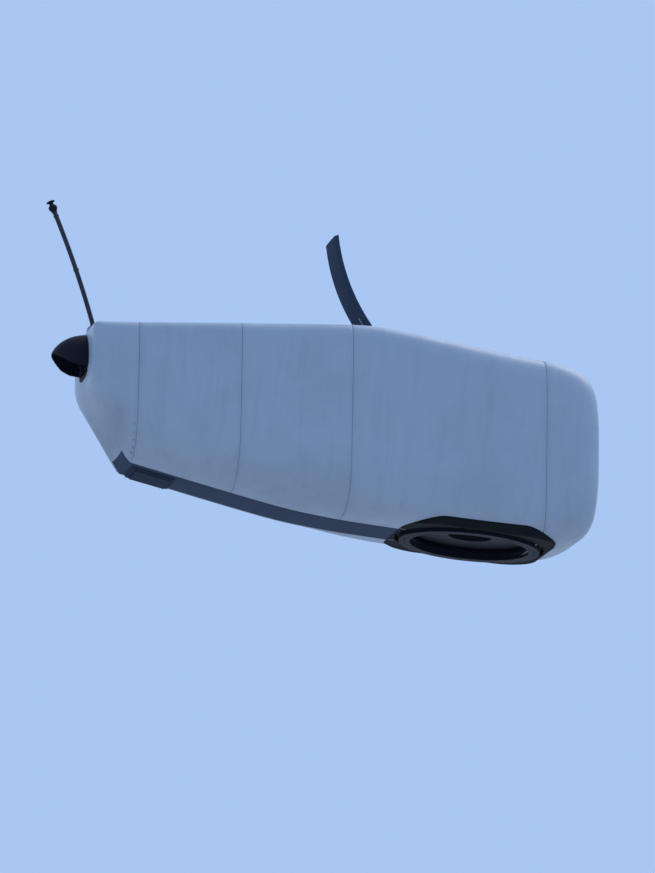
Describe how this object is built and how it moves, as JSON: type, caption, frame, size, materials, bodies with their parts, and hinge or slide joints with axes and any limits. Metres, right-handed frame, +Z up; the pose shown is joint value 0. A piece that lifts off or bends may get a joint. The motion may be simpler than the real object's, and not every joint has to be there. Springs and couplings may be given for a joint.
{
  "type": "wind turbine nacelle",
  "caption": "Housing of a large wind turbine with its drive train and yaw bearing, without the rotor, with an open roof hatch, a raked weather mast and a rear air hood.",
  "frame": {"origin": "on the lower face of the yaw flange ring, where it is bolted to the tower, at the front of the bolt circle in the centre plane; the tower's axis is 1.29 m behind it", "axes": "+X towards the rotor, +Y to the left seen towards the rotor, +Z up along the tower"},
  "size_m": [11.3952, 3.5, 5.8045],
  "materials": {
    "gelcoat": "weathered satin gelcoat",
    "belly_grey": "matt dark gelcoat",
    "dark_plastic": "matt",
    "rubber": "matt",
    "dark_steel": "oiled",
    "frame_paint": "satin",
    "bare_steel": "turned",
    "galvanised": "dull zinc"
  },
  "bodies": {
    "tower_ring": {"yaw_flange_ring": "dark_steel", "yaw_gear_ring": "dark_steel"},
    "nacelle": {"yaw_race": "dark_steel", "yaw_seat": "frame_paint", "bedplate": "frame_paint", "main_bearing_housing": "frame_paint", "main_shaft": "bare_steel", "gearbox": "frame_paint", "brake_and_coupling": "bare_steel", "generator": "frame_paint", "cross_beam_front": "frame_paint", "cross_beam_rear": "frame_paint", "rear_beam_left": "frame_paint", "rear_beam_right": "frame_paint", "housing_arm_front_left": "frame_paint", "housing_arm_front_right": "frame_paint", "nose_shell": "gelcoat", "tail_shell": "gelcoat", "roof_front": "gelcoat", "roof_rear": "gelcoat", "belly_pan": "belly_grey", "side_front_left": "gelcoat", "side_front_right": "gelcoat", "side_middle_left": "gelcoat", "side_rear_left": "gelcoat", "side_middle_right": "gelcoat", "side_rear_right": "gelcoat", "hatch_hinge_left": "galvanised", "hatch_hinge_right": "galvanised", "yaw_skirt": "rubber", "belly_hatch_frame": "belly_grey", "belly_hatch_lid": "dark_plastic", "outlet_hood": "dark_plastic", "outlet_louvre": "dark_plastic", "hatch_coaming": "gelcoat", "mast_foot": "galvanised", "sensor_mast": "galvanised", "wind_sensor": "dark_plastic"},
    "hatch": {"roof_hatch": "gelcoat"}
  },
  "joints": [
    {"name": "yaw", "type": "hinge", "parent": "tower_ring", "child": "nacelle", "pos_m": [-1.29, 0, 0.15], "axis": [0, 0, 1], "continuous": true},
    {"name": "hatch_hinge", "type": "hinge", "parent": "nacelle", "child": "hatch", "pos_m": [-3.74, 0, 3.95], "axis": [0, 1, 0], "range_deg": [0, 120]}
  ]
}
